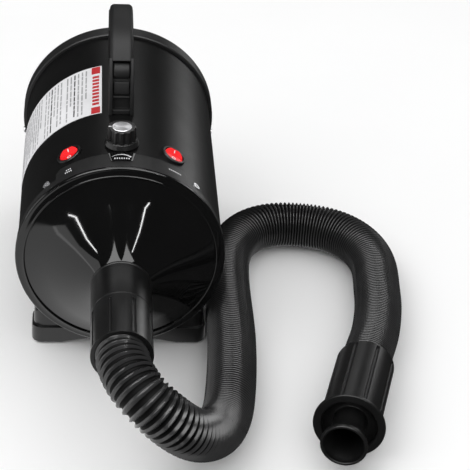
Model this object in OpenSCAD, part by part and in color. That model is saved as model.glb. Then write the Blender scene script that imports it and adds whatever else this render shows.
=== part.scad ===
// Pet dryer: a motor blower in a steel tube on two feet, with a stretch hose.
// The floor is z = 0, the front faces -Y and the body's axis runs along Y.
// "Depth" is the distance behind the front rim, along the body's axis.

/* [Body] */
// Outside diameter of the steel shell
shell_d = 180; // [178:0.5:182]
// Thickness of the shell
shell_t = 1.5; // [1:0.1:1.8]
// Length from the front rim to the back of the rear cap
body_l = 264; // [262:1:270]
// Height of the body's axis above the floor
axis_h = 105; // [104:0.5:106]
// Diameter of the front cover's rim
rim_d = 183.5; // [182.5:0.5:185]
// Diameter of the rear cap
cap_d = 186.6; // [185:0.2:188]
// Depth of the control tongue on top of the front trim
tongue_l = 25.5; // [24:0.5:26]
// Half of the angle that the control tongue spans
tongue_a = 38; // [34:1:40]

/* [Controls] */
// Depth of the knob and of the two switches
control_y = 44; // [43:0.5:46]
// Angle of each switch from the top of the shell
switch_a = 30; // [26:1:34]
// Diameter of the switch body
switch_d = 20; // [19.6:0.1:20.2]
// Diameter of the switch bezel
bezel_d = 23.2; // [22.6:0.1:24]
// Angle that a rocker tips to each side
rocker_tilt = 12; // [8:1:12]
// Height of the knob's top above the shell
knob_h = 17.4; // [16:0.2:20]
// Diameter of the knob's skirt
knob_skirt_d = 30.4; // [28:0.2:31]

/* [Handle and feet] */
// Outside length of the handle
handle_l = 129; // [120:1:134]
// Height of the handle above the shell
handle_h = 69.5; // [62:0.5:76]
// Width of the handle
handle_w = 20; // [18:0.5:22]
// Thickness of the handle's legs
handle_t = 20; // [19:0.5:21]
// Width of a foot across the body
foot_w = 158; // [150:1:159]
// Length of a foot along the body
foot_l = 32; // [28:1:34]

/* [Outlet and hose] */
// Outside diameter of the outlet collar and of the hose's grips
cuff_d = 51.6; // [51:0.2:53]
// Bore of the outlet collar
collar_bore_d = 48.1; // [47.6:0.1:48.4]
// Outside diameter of the hose
hose_d = 44; // [43:0.5:44.4]
// Diameter of the nozzle fitting's flange
flange_d = 62; // [58:1:62]
// Diameter of the nozzle spigot's mouth
mouth_d = 40; // [38:0.5:41]
// Length of the hand grip
grip_l = 90; // [80:1:92]

/* [Hidden] */

// Clearance between pieces that only stand next to each other
gap = 0.4;
// Radial clearance of a running fit
run = 0.05;

shell_r = shell_d / 2;
bore_r = shell_r - shell_t;
rim_r = rim_d / 2;
cap_r = cap_d / 2;
// The outlet collar reaches this far in front of the rim
collar_y0 = -88;
// The rim is placed so that the body is centred on y = 0
front_y = -(body_l + collar_y0) / 2;

// Front cover and trim
shell_y0 = 4;
shell_y1 = 256;
trim_r = shell_r + 1.3;
trim_y1 = 12;
cover_screw_y = 16.3;
skirt_y1 = 22;
neck_r = 24;
neck_bore_r = 21.5;
neck_y = -64;
dome_y = -42;
lip_r = 26.4;

// Outlet, cuff and grip
cuff_r = cuff_d / 2;
collar_bore_r = collar_bore_d / 2;
cuff_y1 = collar_y0 - 0.3;
cuff_y0 = -141;
hose_y0 = -123;
hose_r = hose_d / 2;
spigot_l = 22;
groove_n = 8;
groove_w = 3.4;
groove_deep = 1.3;

// Hand grip: the centre of the flange's back, and the way that the fitting points
grip_at = [192, -225, 31];
grip_yaw = 16;
grip_pitch = 3;
flange_t = 3;
mouth_l = 32;
spigot_r = 14;
spigot_bore_r = 11.6;

// Rear cap and filter
cap_y0 = 246;
cap_bore_r = 74;
barrel_r = 76.5;
barrel_y0 = 240;
spider_t = 3;
rear_screw_y = 251;
rear_screw_as = [100, 160, 200, 260];
// Cord inlet, and the loom that runs back to it
inlet_a = 165;
inlet_r = 83;
inlet_hole_r = 6;
loom_a = 12;
loom_r = 3;
loom_y0 = 101;
loom_turn_y = 235;
loom_y1 = 256;

// Handle
handle_y = 157;
handle_bolt_ys = [handle_y - handle_l / 2 + 10, handle_y + handle_l / 2 - 10];

// Feet: depth of the middle of each foot
foot_ys = [31, 221];
foot_base_h = 18;
foot_h = 36;
foot_step = 2;
foot_corner = 10;
pad_h = 2;
pad_r = 10;
pad_x = 64;
pad_pin_r = 3.95;
foot_screw_a = 22;
// Arch under the middle of a foot: its rise, its half-span and the radius that gives them
foot_rise = 6;
foot_span = 52;
foot_arch_r = (pow(foot_span, 2) + pow(foot_rise, 2)) / (2 * foot_rise);

// Controls, as distances from the body's axis
knob_r0 = shell_r + 1;
knob_top = shell_r + knob_h;
pivot_r = shell_r - 3;
pocket_r = switch_d / 2 - 0.7;
rocker_r = pocket_r - 0.3;
bezel_top = shell_r + 2.2;
// Finger flutes of the knob
flute_n = 12;
flute_r = 2.7;
flute_at = 13.9;
knob_cap_r = 8.75;
knob_shaft_r = 2.98;

// Motor and fan
shroud_r = 54;
motor_r = 40;
motor_y0 = 118;
motor_y1 = 172;
shaft_r = 4;
fan_y0 = 182;
fan_y1 = 203;
bulkhead_y = 186;
bulkhead_t = 6;

// Heater
shield_r = 67;
shield_y0 = 60;
shield_y1 = 106;
coil_ys = [66, 74, 82, 90, 98];
coil_rs = [28, 44];
wire_r = 1.4;

// Way that the nozzle points, and the hose's socket in the hand grip
grip_dir = [-sin(grip_yaw) * cos(grip_pitch), -cos(grip_yaw) * cos(grip_pitch), sin(grip_pitch)];
grip_socket = 24;

// Hose from the cuff's socket to the hand grip's socket, lying on the floor between them
hose_points = concat([
    [0, front_y + hose_y0, axis_h], [0, front_y + cuff_y0, axis_h], [4.5, -248.5, 102.5],
    [17, -267, 94], [35.5, -274, 78], [54.5, -268, 58], [71, -249, 39.5], [83, -225, 27],
    [91, -199, 22], [95.5, -170, 22], [98.5, -140, 22], [100.5, -110, 22], [101.5, -80, 22],
    [101.5, -50, 22], [101.5, -20, 22], [102.5, 11, 22], [106, 39, 22], [115.5, 65, 22],
    [133, 85.5, 22], [156, 95, 22], [182, 95, 22], [207, 87.5, 22], [228, 71, 22], [241, 48, 22],
    [246, 20, 22], [244.5, -10, 22], [242, -40, 22], [237.5, -67, 22.5], [231.5, -92, 23.5],
    [224, -115, 24.9]
], [grip_at - grip_l * grip_dir, grip_at - (grip_l - grip_socket) * grip_dir]);

// ---- Placing -------------------------------------------------------------

// Puts children on the body's axis, with the front rim's plane at y = 0
module on_axis() translate([0, front_y, axis_h]) children();

// Revolves a profile of [radius, depth] points about the body's axis
module lathe(profile, from = 0, to = 360)
    on_axis()
        rotate([-90, 0, 0])
            rotate([0, 0, from - 90])
                rotate_extrude(angle = to - from, $fn = 96)
                    polygon(profile);

// A tube about the body's axis, between two depths
module tube(outer, inner, y0, y1, from = 0, to = 360)
    lathe([[inner, y0], [outer, y0], [outer, y1], [inner, y1]], from, to);

// A disc about the body's axis, between two depths
module disc(r, y0, y1)
    on_axis()
        rotate([-90, 0, 0])
            translate([0, 0, y0])
                cylinder(r = r, h = y1 - y0, $fn = 96);

// Puts children at an angle from the top and a depth, with +Z away from the axis
// and z = 0 on the axis
module radial(a, y) on_axis() rotate([0, a, 0]) translate([0, y, 0]) children();

// A cylinder along the radial direction, between two distances from the axis
module peg(r, z0, z1, fn = 48) translate([0, 0, z0]) cylinder(r = r, h = z1 - z0, $fn = fn);

// A pan-head screw along the radial direction, with a cross recess
module screw(z_seat, head_r, head_h, shank_r, z_end) {
    difference() {
        union() {
            peg(head_r, z_seat, z_seat + head_h);
            peg(shank_r, z_end, z_seat + 0.1);
        }
        for (turn = [0, 90])
            rotate([0, 0, turn])
                translate([-head_r * 0.6, -0.4, z_seat + head_h * 0.45])
                    cube([head_r * 1.2, 0.8, head_h]);
    }
}

// ---- Body ----------------------------------------------------------------

module shell() color("black") difference() {
    tube(shell_r, bore_r, shell_y0, shell_y1);
    for (a = [-switch_a, switch_a]) radial(a, control_y) peg(switch_d / 2 + 0.2, 60, 100);
    radial(0, control_y) peg(4, 60, 100);
    for (a = [45, 135, 225, 315]) radial(a, cover_screw_y) peg(1.7, 60, 100);
    for (a = rear_screw_as) radial(a, rear_screw_y) peg(1.7, 60, 100);
    for (y = handle_bolt_ys) radial(0, y) peg(2.6, 60, 100);
    for (y = foot_ys, a = [-foot_screw_a, foot_screw_a]) radial(180 + a, y) peg(2.1, 60, 100);
}

// A quadratic curve from p0 to p2 that leaves and arrives towards p1
function bend(p0, p1, p2, steps) =
    [for (i = [0:steps]) let (t = i / steps)
        (1 - t) * (1 - t) * p0 + 2 * t * (1 - t) * p1 + t * t * p2];

cover_outside = concat(
    [[bore_r - 0.2, skirt_y1], [bore_r - 0.2, shell_y0], [rim_r, shell_y0], [rim_r, 1.2]],
    [[rim_r - 1.2, 0], [84, -2], [83.6, -1.2], [82.5, -1.2]],
    bend([46, -25.5], [27, -38], [neck_r, dome_y], 6),
    [[neck_r, neck_y]]);
cover_inside = [
    [neck_bore_r, neck_y], [neck_bore_r, -39.5], [30, -32.4], [79, -0.3],
    [84.5, 4], [84.5, skirt_y1]];

module front_cover() color("black") difference() {
    lathe(concat(cover_outside, cover_inside));
    for (a = [45, 135, 225, 315]) radial(a, cover_screw_y) peg(1.6, 80, 100);
}

// Cuts the tongue's rear corner to a round one
module tongue_corner(side) {
    corner_r = 7;
    radial(side * (tongue_a - atan(corner_r / trim_r)), tongue_l - corner_r)
        translate([0, 0, 80])
            linear_extrude(20)
                difference() {
                    translate([side > 0 ? 0 : -12, 0]) square([12, 12]);
                    circle(r = corner_r + 0.15, $fn = 48);
                }
}

module front_trim() color("dimgray") difference() {
    tube(trim_r, shell_r + run, shell_y0, tongue_l);
    tube(100, 80, trim_y1, 30, tongue_a, 360 - tongue_a);
    for (side = [-1, 1]) tongue_corner(side);
}

module airflow_plate() color("black") intersection() {
    tube(trim_r + 0.6, trim_r, 10, 30);
    radial(0, 0)
        translate([0, 0, 80])
            linear_extrude(20)
                polygon([[-9, 12.5], [9, 12.5], [11.5, tongue_l], [-11.5, tongue_l]]);
}

module rating_label() color("white") tube(shell_r + 0.3, shell_r, 100.5, 190, -100, -11);

module cover_screws() color("silver")
    for (a = [45, 135, 225, 315])
        radial(a, cover_screw_y) screw(shell_r, 3.4, 1.8, 1.6, 84.5);

// ---- Rear end ------------------------------------------------------------

cap_profile = [
    [barrel_r, barrel_y0], [barrel_r, 258], [shell_r + run, 258], [shell_r + run, cap_y0],
    [cap_r - 0.8, cap_y0], [cap_r, cap_y0 + 1], [cap_r, body_l - 2.5], [cap_r - 2.5, body_l],
    [cap_bore_r, body_l], [cap_bore_r, barrel_y0]];

module rear_cap() color("dimgray") difference() {
    union() {
        lathe(cap_profile);
        tube(36, 32, barrel_y0, barrel_y0 + spider_t);
        tube(58, 54, barrel_y0, barrel_y0 + spider_t);
        intersection() {
            disc(barrel_r - 1, barrel_y0, barrel_y0 + spider_t);
            for (a = [0, 60, 120]) radial(a, barrel_y0) translate([-2, 0, -80]) cube([4, 10, 160]);
        }
    }
    for (a = rear_screw_as) radial(a, rear_screw_y) peg(1.7, 80, 100);
    loom_run(inlet_a, inlet_hole_r, 250, 270);
    // Finger notches beside the filter cover
    for (a = [90, 270]) radial(a, body_l - 5) translate([-9, 0, 70]) cube([18, 10, 8]);
}

module rear_screws() color("silver")
    for (a = rear_screw_as)
        radial(a, rear_screw_y) screw(cap_r, 3, 1.5, 1.6, bore_r - 1);

module filter_foam() color("gray") disc(cap_bore_r - gap, barrel_y0 + spider_t + 0.3, 255.5);

module filter_cover() color("black") {
    seat_y = 256.3;
    face_y = 260.5;
    tube(cap_bore_r - gap, 68, seat_y, body_l);
    for (r = [60, 48, 36, 24]) tube(r, r - 4, face_y, body_l);
    difference() {
        disc(69, face_y, body_l);
        for (turn = [0:5])
            radial(turn * 60 + 30, face_y)
                translate([0, -5, 0])
                    rotate([-90, 0, 0])
                        linear_extrude(20)
                            polygon([[0, -7], [-32.5, -63.3], [0, -90], [32.5, -63.3]]);
    }
    disc(12, face_y - 1, body_l);
}

module cord_inlet() color("black") difference() {
    union() {
        loom_run(inlet_a, inlet_hole_r - 0.1, 257, body_l);
        loom_run(inlet_a, inlet_hole_r + 0.4, 256.2, 258);
    }
    loom_run(inlet_a, 3.6, 250, 270);
}

// ---- Handle and feet -----------------------------------------------------

// Half-oval arch over the shell, from its front end to its back end
function arch(half_l, height, n, steps) =
    [for (i = [0:steps]) let (u = -cos(180 * i / steps))
        [half_l * u, height * pow(1 - pow(abs(u), n), 1 / n)]];

module arch_side(half_l, height, grow)
    polygon(concat([[-half_l, -grow]], arch(half_l, height, 2.3, 32), [[half_l, -grow]]));

module handle() color("dimgray") difference() {
    union() {
        on_axis()
            translate([handle_w / 2, handle_y, shell_r])
                rotate([90, 0, -90])
                    linear_extrude(handle_w)
                        difference() {
                            arch_side(handle_l / 2, handle_h, 6);
                            arch_side(handle_l / 2 - handle_t, handle_h - 22, 8);
                        }
        // Wider feet of the two legs
        for (y = handle_bolt_ys)
            on_axis()
                translate([-handle_w / 2 - 2, y - 10, shell_r - 4])
                    cube([handle_w + 4, 20, 18]);
    }
    disc(shell_r + run, 60, 250);
    for (y = handle_bolt_ys) radial(0, y) peg(2.5, 80, shell_r + 14);
}

module handle_bolts() color("silver")
    for (y = handle_bolt_ys)
        radial(0, y) {
            peg(2.45, bore_r - 1, shell_r + 13);
            peg(4.5, bore_r - 4, bore_r - 0.3);
        }

// Section of a foot across the body, with round upper corners
module foot_side(half_w, bottom, top, corner) {
    translate([-half_w, bottom]) square([2 * half_w, top - bottom - corner]);
    translate([corner - half_w, bottom]) square([2 * (half_w - corner), top - bottom]);
    for (side = [-1, 1])
        translate([side * (half_w - corner), top - corner]) circle(r = corner, $fn = 48);
}

// Outline of a foot from above, with round corners
module foot_plan(half_w, half_l) {
    square([2 * (half_w - foot_corner), 2 * half_l], center = true);
    square([2 * half_w, 2 * (half_l - foot_corner)], center = true);
    for (x = [-1, 1], y = [-1, 1])
        translate([x * (half_w - foot_corner), y * (half_l - foot_corner)])
            circle(r = foot_corner, $fn = 64);
}

// One step of a foot: its section, cut to its outline a little outside the section's ends
module foot_block(half_w, half_l, bottom, top, corner)
    intersection() {
        rotate([90, 0, 0])
            linear_extrude(2 * foot_l, center = true)
                foot_side(half_w, bottom, top, corner);
        linear_extrude(foot_h + 1) foot_plan(half_w + 0.15, half_l);
    }

module foot(y) color("black") difference() {
    translate([0, front_y + y, 0]) {
        foot_block(foot_w / 2, foot_l / 2, pad_h, foot_base_h, 3);
        foot_block(foot_w / 2 - foot_step, foot_l / 2 - foot_step, pad_h + 8, foot_h, 9);
    }
    translate([0, front_y + y, pad_h + foot_rise - foot_arch_r])
        rotate([90, 0, 0])
            cylinder(r = foot_arch_r, h = 2 * foot_l, center = true, $fn = 180);
    disc(shell_r + run, y - foot_l, y + foot_l);
    for (a = [-foot_screw_a, foot_screw_a]) radial(180 + a, y) peg(1.95, 80, shell_r + 10);
    for (side = [-1, 1])
        translate([side * pad_x, front_y + y, 0]) cylinder(r = pad_pin_r + run, h = 8, $fn = 48);
}

module front_foot() foot(foot_ys[0]);
module rear_foot() foot(foot_ys[1]);

module foot_pads() color("dimgray")
    for (y = foot_ys, side = [-1, 1])
        translate([side * pad_x, front_y + y, 0]) {
            cylinder(r = pad_r, h = pad_h, $fn = 48);
            cylinder(r = pad_pin_r, h = 7.5, $fn = 48);
        }

module foot_screws() color("silver")
    for (y = foot_ys, a = [-foot_screw_a, foot_screw_a])
        radial(180 + a, y) {
            peg(1.9, bore_r - 1, shell_r + 9);
            peg(3.6, bore_r - 2.4, bore_r - 0.1);
        }

// ---- Controls ------------------------------------------------------------

// Skirt and body, with the cap's seat, a hollow for the nut and a bore for the shaft
knob_profile = [
    [8, 0], [knob_skirt_d / 2, 0], [13.4, 4.2], [12.9, 4.2], [12.2, knob_h - 1.9],
    [11.6, knob_h - 1.3], [knob_cap_r + run, knob_h - 1.3], [knob_cap_r + run, knob_h - 3],
    [knob_shaft_r + 0.02, knob_h - 3], [knob_shaft_r + 0.02, 4], [8, 4]];

module airflow_knob() color("black") radial(0, control_y) translate([0, 0, knob_r0]) difference() {
    rotate_extrude($fn = 96) polygon(knob_profile);
    // Flutes for the fingers
    for (turn = [0:flute_n - 1])
        rotate([0, 0, (turn + 0.5) * 360 / flute_n])
            translate([flute_at, 0, 4.6])
                cylinder(r = flute_r, h = knob_h, $fn = 32);
}

module knob_cap() color("silver") radial(0, control_y) peg(knob_cap_r, knob_top - 2, knob_top);

module knob_shaft() color("silver") radial(0, control_y) peg(knob_shaft_r, 78, knob_top - 4.2);

module speed_control() color("gray") radial(0, control_y) difference() {
    union() {
        peg(12, 74, 87.4);
        peg(3.9, 87, shell_r + 3.6);
        for (x = [-5, 0, 5]) translate([x - 0.75, -16.5, 78]) cube([1.5, 6, 0.8]);
    }
    peg(knob_shaft_r + run, 77.5, 100);
}

module control_nut() color("silver") radial(0, control_y) difference() {
    translate([0, 0, shell_r + 0.2]) cylinder(r = 6.3, h = 2.4, $fn = 6);
    peg(3.95, 85, 100);
}

// Round panel switch: a body through the shell and a bezel that follows it
module switch_body(a) color("black") difference() {
    radial(a, control_y) {
        peg(switch_d / 2, 72, bezel_top - 1);
        translate([0, 0, 85]) cylinder(r = bezel_d / 2, h = bezel_top - 85.6, $fn = 96);
        translate([0, 0, bezel_top - 0.6])
            cylinder(r1 = bezel_d / 2, r2 = bezel_d / 2 - 0.6, h = 0.6, $fn = 96);
        for (y = [-5, 5]) translate([-3, y - 0.4, 64]) cube([6, 0.8, 9]);
    }
    // The bezel rests on the shell; the body passes through it
    difference() {
        disc(shell_r + run, 20, 70);
        radial(a, control_y) peg(switch_d / 2, 50, 100);
    }
    radial(a, control_y) {
        peg(pocket_r, 81, 100);
        translate([-switch_d, 0, pivot_r])
            rotate([0, 90, 0])
                cylinder(r = 1.25, h = 2 * switch_d, $fn = 24);
    }
}

module power_switch() switch_body(-switch_a);
module heat_switch() switch_body(switch_a);

// Paddle level between its two stops: a hollow V on top, round ends that swing free
module paddle() {
    top_mid = bezel_top - 1.4 - pivot_r;
    rise = 10 * tan(rocker_tilt);
    intersection() {
        rotate([rocker_tilt, 0, 0]) cylinder(r = rocker_r, h = 40, center = true, $fn = 96);
        rotate([-rocker_tilt, 0, 0]) cylinder(r = rocker_r, h = 40, center = true, $fn = 96);
        rotate([0, 90, 0]) cylinder(r = rocker_r, h = 40, center = true, $fn = 96);
        translate([-20, 0, 0])
            rotate([90, 0, 90])
                linear_extrude(40)
                    polygon([
                        [-10, -3.5], [10, -3.5], [10, top_mid + rise], [0, top_mid],
                        [-10, top_mid + rise]]);
    }
    rotate([0, 90, 0]) cylinder(r = 1.2, h = 2 * (pocket_r + 0.6), center = true, $fn = 24);
}

// The front half is pressed in: the switch is off
module rocker(a) color("red")
    radial(a, control_y)
        translate([0, 0, pivot_r])
            rotate([rocker_tilt, 0, 0])
                paddle();

module power_rocker() rocker(-switch_a);
module heat_rocker() rocker(switch_a);

module control_board() color("green") radial(0, 0) translate([0, 62, 0]) {
    translate([-20, 0, 74]) cube([40, 38, 1.6]);
    // Heat sink, capacitor, relay and coil
    for (i = [0:3]) translate([-17 + i * 3.5, 6, 75.6]) cube([1.5, 18, 7]);
    translate([-17, 6, 75.4]) cube([12, 18, 1.5]);
    translate([4, 8, 75.4]) cylinder(r = 4, h = 7, $fn = 32);
    translate([9, 16, 75.4]) cube([9, 12, 6]);
    translate([-2, 22, 75.4]) cylinder(r = 4.5, h = 4, $fn = 32);
}

// A straight run of the loom along the body
module loom_run(a, r, y0, y1)
    radial(a, 0)
        translate([0, 0, inlet_r])
            rotate([-90, 0, 0])
                translate([0, 0, y0])
                    cylinder(r = r, h = y1 - y0, $fn = 24);

// From the board back past the motor, round inside the shell and out at the inlet
module wiring_loom() color("dimgray") {
    loom_run(loom_a, loom_r, loom_y0, loom_turn_y + loom_r);
    loom_run(inlet_a, loom_r, loom_turn_y - loom_r, loom_y1);
    on_axis()
        rotate([-90, 0, 0])
            translate([0, 0, loom_turn_y])
                rotate([0, 0, loom_a - 90])
                    rotate_extrude(angle = inlet_a - loom_a, $fn = 96)
                        translate([inlet_r, 0]) circle(r = loom_r - 0.5, $fn = 24);
}

// ---- Motor and fan -------------------------------------------------------

module stator() color("gray") difference() {
    union() {
        tube(motor_r, 37, motor_y0, motor_y1);
        // Laminated pack with its two field windings
        tube(37.2, 24, 134, 162);
        for (a = [0, 180]) tube(35, 25, 128, 168, a - 38, a + 38);
        // End plates with the bearing seats
        tube(37.2, 11.05, motor_y0, motor_y0 + 3);
        tube(37.2, 11.05, motor_y1 - 3, motor_y1);
    }
    // Windows for the cooling air
    for (a = [45, 135, 225, 315], y = [motor_y0 - 5, motor_y1 - 8])
        radial(a, y) translate([-9, 0, 15]) cube([18, 13, 17]);
    // Slots for the two brush holders
    for (a = [90, 270]) radial(a, 125) translate([-4.2, -4.2, 30]) cube([8.4, 8.4, 15]);
}

module carbon_brushes() color("goldenrod")
    for (a = [90, 270])
        radial(a, 125) {
            translate([-4, -4, 22]) cube([8, 8, 22]);
            translate([-2.5, -2.5, 12.3]) cube([5, 5, 12]);
        }

module bearing(y) color("silver") tube(11, shaft_r + run, y, y + 7);
module front_bearing() bearing(motor_y0 - 4);
module rear_bearing() bearing(motor_y1 - 3);

module fan_shroud() color("silver") {
    lathe([
        [shroud_r, 178], [shroud_r, 206], [shroud_r - 2, 208], [18, 208], [18, 206.5],
        [shroud_r - 3, 206.5], [shroud_r - 1.5, 205], [shroud_r - 1.5, 178]]);
    // Diffuser plate with the holes that pass the air to the motor
    difference() {
        disc(shroud_r - 1.4, 178, 180);
        disc(16, 170, 190);
        for (turn = [0:11]) radial(turn * 30, 170) translate([-4, 0, 30]) cube([8, 20, 18]);
    }
    // Collar that joins the plate to the motor frame
    tube(motor_r, 37, motor_y1, 178.5);
}

module armature() color("peru") {
    disc(shaft_r, 110, 200);
    difference() {
        disc(22.5, 134, 162);
        for (turn = [0:11]) radial(turn * 30, 130) translate([-1.2, 0, 15]) cube([2.4, 40, 10]);
    }
    tube(19, shaft_r - 0.1, 130.5, 166);
    // Commutator
    tube(12, shaft_r - 0.1, 121.5, 130);
}

module impeller() color("silver") {
    tube(10, shaft_r, fan_y0 + 1, 200);
    tube(49, 9, fan_y0, fan_y0 + 1.2);
    tube(49, 17, fan_y1 - 1.2, fan_y1);
    for (turn = [0:8])
        radial(turn * 40, fan_y0 + 1)
            translate([8, 0, 16])
                rotate([0, 25, 0])
                    translate([-0.6, 0, 0])
                        cube([1.2, fan_y1 - fan_y0 - 2, 27]);
}

module motor_bracket() color("dimgray") difference() {
    union() {
        tube(20, 11.05, 112, motor_y0);
        tube(bore_r - 0.1, bore_r - 5, 112, motor_y0);
        intersection() {
            disc(bore_r - 1, 112, 116);
            for (a = [30, 90, 150]) radial(a, 112) translate([-6, 0, -100]) cube([12, 4, 200]);
        }
    }
    disc(11.05, 100, 130);
    loom_run(loom_a, loom_r + 0.4, 100, 130);
}

module bulkhead() color("dimgray") difference() {
    tube(bore_r - 0.1, shroud_r + 4, bulkhead_y, bulkhead_y + bulkhead_t);
    loom_run(loom_a, loom_r + 0.4, 170, 210);
}

module motor_gasket() color("black")
    lathe([
        [shroud_r + 0.05, 184], [shroud_r + 8, 184], [shroud_r + 8, 185.9], [shroud_r + 3.9, 185.9],
        [shroud_r + 3.9, 192.1], [shroud_r + 8, 192.1], [shroud_r + 8, 194], [shroud_r + 0.05, 194]]);

module sound_foam() color("gray") tube(bore_r - 0.2, 79, 119, 184, 30, 330);

// ---- Heater --------------------------------------------------------------

module heat_shield() color("silver") {
    tube(shield_r, shield_r - 1, shield_y0, shield_y1);
    // Three stand-offs to the shell
    for (a = [90, 180, 270])
        radial(a, 83) peg(3, shield_r - 0.2, bore_r - 0.3);
}

module heater_frame() color("tan") difference() {
    for (a = [45, 135])
        radial(a, shield_y0)
            translate([-0.5, 0, -(shield_r - 1.3)])
                cube([1, shield_y1 - shield_y0 - 1, 2 * (shield_r - 1.3)]);
    for (y = coil_ys, r = coil_rs) tube(r + 2, r - 2, y - 2, y + 2);
    // Space round the thermal cut-out
    disc(9, 50, 68);
}

module heater_coil() color("gray") {
    for (y = coil_ys, r = coil_rs)
        on_axis()
            rotate([-90, 0, 0])
                translate([0, 0, y])
                    rotate_extrude($fn = 72)
                        translate([r, 0]) circle(r = wire_r, $fn = 16);
    // Bars that join the rings
    for (r = coil_rs, a = [0, 180])
        radial(a, coil_ys[0])
            translate([-0.8, 0, r - 0.8]) cube([1.6, coil_ys[len(coil_ys) - 1] - coil_ys[0], 1.6]);
    radial(0, 82) translate([-0.8, -0.8, coil_rs[0]]) cube([1.6, 1.6, coil_rs[1] - coil_rs[0]]);
}

module thermal_cutout() color("silver") {
    disc(8, 60.5, 66);
    disc(5, 58.5, 61);
    for (side = [-1, 1]) on_axis() translate([side * 4 - 1.5, 52, -0.4]) cube([3, 8, 0.8]);
}

// ---- Outlet and hose -----------------------------------------------------

module outlet_collar() color("black") {
    lathe([
        [collar_bore_r, dome_y - 0.5], [lip_r - 0.6, dome_y - 0.5], [lip_r, dome_y - 1.1],
        [lip_r, dome_y - 2.6], [cuff_r, dome_y - 3.2], [cuff_r, collar_y0 + 1.6],
        [cuff_r - 0.4, collar_y0], [collar_bore_r, collar_y0]]);
    // Stop between the neck and the cuff's spigot
    tube(collar_bore_r + 0.2, neck_bore_r + 0.5, neck_y - 1.9, neck_y - 0.1);
}

// Long grooves round a sleeve that lies along +Z
module grooves(z0, z1)
    for (turn = [0:groove_n - 1])
        rotate([0, 0, (turn + 0.5) * 360 / groove_n])
            translate([cuff_r + groove_w / 2 - groove_deep, 0, z0])
                cylinder(r = groove_w / 2, h = z1 - z0, $fn = 24);

module hose_cuff() color("black")
    on_axis()
        rotate([-90, 0, 0])
            difference() {
                union() {
                    translate([0, 0, cuff_y0]) cylinder(r = cuff_r, h = cuff_y1 - cuff_y0, $fn = 96);
                    translate([0, 0, cuff_y1 - 1])
                        cylinder(r = collar_bore_r - run, h = spigot_l - 1, $fn = 96);
                }
                translate([0, 0, cuff_y0 - 1])
                    cylinder(r = hose_r + 0.3, h = hose_y0 - cuff_y0 + 1, $fn = 96);
                translate([0, 0, hose_y0 - 1])
                    cylinder(r = hose_r - 2.5, h = 100, $fn = 96);
                grooves(cuff_y0 + 1.5, cuff_y1 - 4);
            }

// Puts children on the hand grip's axis: +Z points out of the nozzle fitting
module at_grip()
    translate(grip_at)
        rotate([0, 0, -grip_yaw])
            rotate([90 - grip_pitch, 0, 0])
                children();

module hand_grip() color("black") at_grip() difference() {
    translate([0, 0, -grip_l]) cylinder(r = cuff_r, h = grip_l - 0.3, $fn = 96);
    // Socket for the hose, air way, and socket for the fitting
    translate([0, 0, -grip_l - 1]) cylinder(r = hose_r + 1.4, h = grip_socket + 1, $fn = 96);
    translate([0, 0, -grip_l]) cylinder(r = hose_r - 2.5, h = grip_l + 5, $fn = 96);
    translate([0, 0, -25]) cylinder(r = collar_bore_r - 1.05, h = 30, $fn = 96);
    grooves(-grip_l + 1.5, -4);
}

fitting_profile = concat(
    [[spigot_bore_r, -24], [collar_bore_r - 1.1, -24], [collar_bore_r - 1.1, 0], [flange_d / 2, 0]],
    [[flange_d / 2, flange_t]],
    bend([24, flange_t], [21, -5.5], [15.2, -6], 5),
    bend([spigot_r, -3], [spigot_r, 16], [mouth_d / 2, mouth_l - 5], 6),
    [[mouth_d / 2, mouth_l - 0.8], [mouth_d / 2 - 0.8, mouth_l], [mouth_d / 2 - 2, mouth_l]],
    bend([mouth_d / 2 - 2.8, mouth_l - 3], [spigot_bore_r, 16], [spigot_bore_r, 2], 4));

module nozzle_fitting() color("black") at_grip()
    rotate_extrude($fn = 96)
        polygon(fitting_profile);

// A ring of points square to the hose at one of its route points
hose_sides = 12;
function unit(v) = v / norm(v);
function hose_dir(i) =
    i == 0 ? [0, -1, 0]
    : i == len(hose_points) - 1 ? unit(hose_points[i] - hose_points[i - 1])
    : unit(unit(hose_points[i + 1] - hose_points[i]) + unit(hose_points[i] - hose_points[i - 1]));
function hose_ring(i) =
    let (
        d = hose_dir(i),
        u = unit(cross([0, 0, 1], d)),
        v = cross(d, u))
    [for (k = [0:hose_sides - 1]) let (a = 360 * k / hose_sides)
        hose_points[i] + hose_r * (cos(a) * u + sin(a) * v)];

module hose() color("black") {
    rings = [for (i = [0:len(hose_points) - 1]) each hose_ring(i)];
    last = (len(hose_points) - 1) * hose_sides;
    sides = [for (i = [0:len(hose_points) - 2], k = [0:hose_sides - 1])
        let (n = (k + 1) % hose_sides, b = i * hose_sides)
        each [[b + k, b + n, b + hose_sides + k], [b + n, b + hose_sides + n, b + hose_sides + k]]];
    start = [for (k = [1:hose_sides - 2]) [0, k + 1, k]];
    end = [for (k = [1:hose_sides - 2]) [last, last + k, last + k + 1]];
    polyhedron(rings, concat(start, sides, end));
}

// ---- Assembly ------------------------------------------------------------

shell();
front_cover();
front_trim();
airflow_plate();
rating_label();
cover_screws();
rear_cap();
rear_screws();
filter_foam();
filter_cover();
cord_inlet();
handle();
handle_bolts();
front_foot();
rear_foot();
foot_pads();
foot_screws();
airflow_knob();
knob_cap();
knob_shaft();
speed_control();
control_nut();
power_switch();
heat_switch();
power_rocker();
heat_rocker();
control_board();
wiring_loom();
stator();
carbon_brushes();
front_bearing();
rear_bearing();
fan_shroud();
armature();
impeller();
motor_bracket();
bulkhead();
motor_gasket();
sound_foam();
heat_shield();
heater_frame();
heater_coil();
thermal_cutout();
outlet_collar();
hose_cuff();
hose();
hand_grip();
nozzle_fitting();
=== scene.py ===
"""Looks of the pet dryer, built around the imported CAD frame. Lengths in the tables are in millimetres."""

import math

import bmesh
import bpy
import numpy as np
from mathutils import Matrix, Vector


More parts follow.
